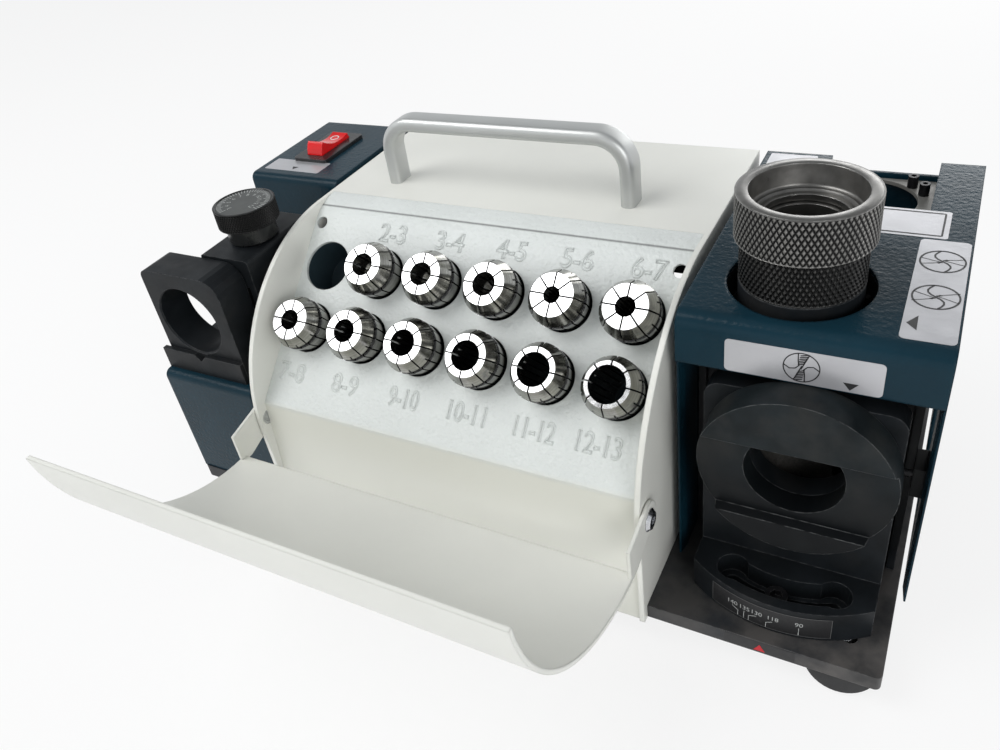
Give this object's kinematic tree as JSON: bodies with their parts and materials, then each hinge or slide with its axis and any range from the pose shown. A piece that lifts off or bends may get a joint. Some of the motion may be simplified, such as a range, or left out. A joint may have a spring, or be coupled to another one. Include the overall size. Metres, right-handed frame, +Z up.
{
  "type": "drill bit sharpener",
  "caption": "Bench drill bit sharpener with collet tray under a hinged lid, setting gauge with dial, swivelling point-angle station and knurled chuck.",
  "frame": {"origin": "on the floor under the centre of the overall box, with the lid open", "axes": "+X to the machine's right, +Y to its back, +Z up"},
  "size_m": [0.2938, 0.236, 0.1552],
  "materials": {
    "blackened_steel": "blackened, oiled",
    "disc_steel": "blackened, worn edges",
    "cream_paint": "satin powder coat",
    "tray_paint": "textured powder coat",
    "blue_paint": "hammered gloss enamel",
    "satin_aluminium": "satin anodised",
    "ground_steel": "ground and polished",
    "knurled_steel": "turned and knurled",
    "zinc_steel": "zinc plated",
    "black_screws": "black oxide",
    "foot_rubber": "moulded",
    "black_plastic": "moulded",
    "red_plastic": "moulded, gloss",
    "rack_plastic": "moulded",
    "brass": "stamped",
    "guard_paint": "satin",
    "motor_case": "cast",
    "wheel_grit": "plated grit"
  },
  "bodies": {
    "machine": {"base_plate": "blackened_steel", "feet": "foot_rubber", "foot_screws": "zinc_steel", "centre_cover": "cream_paint", "collet_tray": "tray_paint", "collet_rack": "rack_plastic", "lid_pivot_screws": "zinc_steel", "lid_pivot_nuts": "zinc_steel", "handle": "satin_aluminium", "handle_screws": "zinc_steel", "left_housing": "blue_paint", "cord_gland": "black_plastic", "gland_nut": "black_plastic", "switch_body": "black_plastic", "switch_terminals": "brass", "gauge_bracket": "blackened_steel", "gauge_front_block": "blackened_steel", "gauge_rear_block": "blackened_steel", "gauge_screws": "black_screws", "right_housing": "blue_paint", "right_side_panel": "blue_paint", "panel_brackets": "blackened_steel", "panel_screws": "black_screws", "inner_frames": "blackened_steel", "wheel_shroud": "blackened_steel", "wheel_guard": "guard_paint", "guard_posts": "black_screws", "swivel_lock_screw": "black_screws", "swivel_pivot_pin": "zinc_steel", "top_socket": "blackened_steel", "socket_pins": "black_screws", "motor_body": "motor_case", "motor_end_caps": "motor_case", "bearings": "zinc_steel", "motor_cradle": "blackened_steel", "motor_screws": "zinc_steel"},
    "lid": {"lid": "cream_paint"},
    "rocker": {"switch_rocker": "red_plastic"},
    "dial": {"dial_knob": "blackened_steel", "dial_shaft": "zinc_steel"},
    "jaw": {"gauge_jaw": "disc_steel"},
    "station": {"swivel_carriage": "blackened_steel", "cam_disc": "disc_steel", "cam_disc_screws": "black_screws"},
    "chuck": {"chuck_body": "knurled_steel"},
    "chuck_cap": {"chuck_cap": "knurled_steel"},
    "spindle": {"motor_shaft": "zinc_steel", "grinding_wheel": "wheel_grit", "wheel_clamp": "zinc_steel"},
    "collet_2_3": {"collet_2_3": "ground_steel"},
    "collet_3_4": {"collet_3_4": "ground_steel"},
    "collet_4_5": {"collet_4_5": "ground_steel"},
    "collet_5_6": {"collet_5_6": "ground_steel"},
    "collet_6_7": {"collet_6_7": "ground_steel"},
    "collet_7_8": {"collet_7_8": "ground_steel"},
    "collet_8_9": {"collet_8_9": "ground_steel"},
    "collet_9_10": {"collet_9_10": "ground_steel"},
    "collet_10_11": {"collet_10_11": "ground_steel"},
    "collet_11_12": {"collet_11_12": "ground_steel"},
    "collet_12_13": {"collet_12_13": "ground_steel"}
  },
  "joints": [
    {"name": "lid_hinge", "type": "hinge", "parent": "machine", "child": "lid", "pos_m": [0, -0.0302, 0.0579], "axis": [-1, 0, 0], "range_deg": [0, 106.4]},
    {"name": "switch_rock", "type": "hinge", "parent": "machine", "child": "rocker", "pos_m": [-0.125, 0.0815, 0.1237], "axis": [1, 0, 0], "range_deg": [0, 20]},
    {"name": "dial_turn", "type": "hinge", "parent": "machine", "child": "dial", "pos_m": [-0.111, 0.0085, 0.13], "axis": [0, 0, 1], "range_deg": [0, 270]},
    {"name": "jaw_slide", "type": "slide", "parent": "machine", "child": "jaw", "axis": [1, 0, 0], "range_m": [0, 0.005]},
    {"name": "station_swivel", "type": "hinge", "parent": "machine", "child": "station", "pos_m": [0.1096, 0.0225, 0.015], "axis": [0, 0, 1], "range_deg": [-14, 11]},
    {"name": "chuck_lift", "type": "slide", "parent": "machine", "child": "chuck", "axis": [0, 0, 1], "range_m": [0, 0.08]},
    {"name": "chuck_cap_turn", "type": "hinge", "parent": "chuck", "child": "chuck_cap", "pos_m": [0.1016, 0.0214, 0.147], "axis": [0, 0, 1], "continuous": true},
    {"name": "wheel_spin", "type": "hinge", "parent": "machine", "child": "spindle", "pos_m": [0.1, 0.043, 0.053], "axis": [1, 0, 0], "continuous": true},
    {"name": "collet_2_3_lift", "type": "slide", "parent": "machine", "child": "collet_2_3", "axis": [0, 0.6794, -0.7337], "range_m": [-0.05, 0]},
    {"name": "collet_3_4_lift", "type": "slide", "parent": "machine", "child": "collet_3_4", "axis": [0, 0.6794, -0.7337], "range_m": [-0.05, 0]},
    {"name": "collet_4_5_lift", "type": "slide", "parent": "machine", "child": "collet_4_5", "axis": [0, 0.6794, -0.7337], "range_m": [-0.05, 0]},
    {"name": "collet_5_6_lift", "type": "slide", "parent": "machine", "child": "collet_5_6", "axis": [0, 0.6794, -0.7337], "range_m": [-0.05, 0]},
    {"name": "collet_6_7_lift", "type": "slide", "parent": "machine", "child": "collet_6_7", "axis": [0, 0.6794, -0.7337], "range_m": [-0.05, 0]},
    {"name": "collet_7_8_lift", "type": "slide", "parent": "machine", "child": "collet_7_8", "axis": [0, 0.6794, -0.7337], "range_m": [-0.05, 0]},
    {"name": "collet_8_9_lift", "type": "slide", "parent": "machine", "child": "collet_8_9", "axis": [0, 0.6794, -0.7337], "range_m": [-0.05, 0]},
    {"name": "collet_9_10_lift", "type": "slide", "parent": "machine", "child": "collet_9_10", "axis": [0, 0.6794, -0.7337], "range_m": [-0.05, 0]},
    {"name": "collet_10_11_lift", "type": "slide", "parent": "machine", "child": "collet_10_11", "axis": [0, 0.6794, -0.7337], "range_m": [-0.05, 0]},
    {"name": "collet_11_12_lift", "type": "slide", "parent": "machine", "child": "collet_11_12", "axis": [0, 0.6794, -0.7337], "range_m": [-0.05, 0]},
    {"name": "collet_12_13_lift", "type": "slide", "parent": "machine", "child": "collet_12_13", "axis": [0, 0.6794, -0.7337], "range_m": [-0.05, 0]}
  ],
  "couplings": [
    {"joint": "dial_turn", "follows": "jaw_slide", "rad_per_m": 942.48}
  ]
}
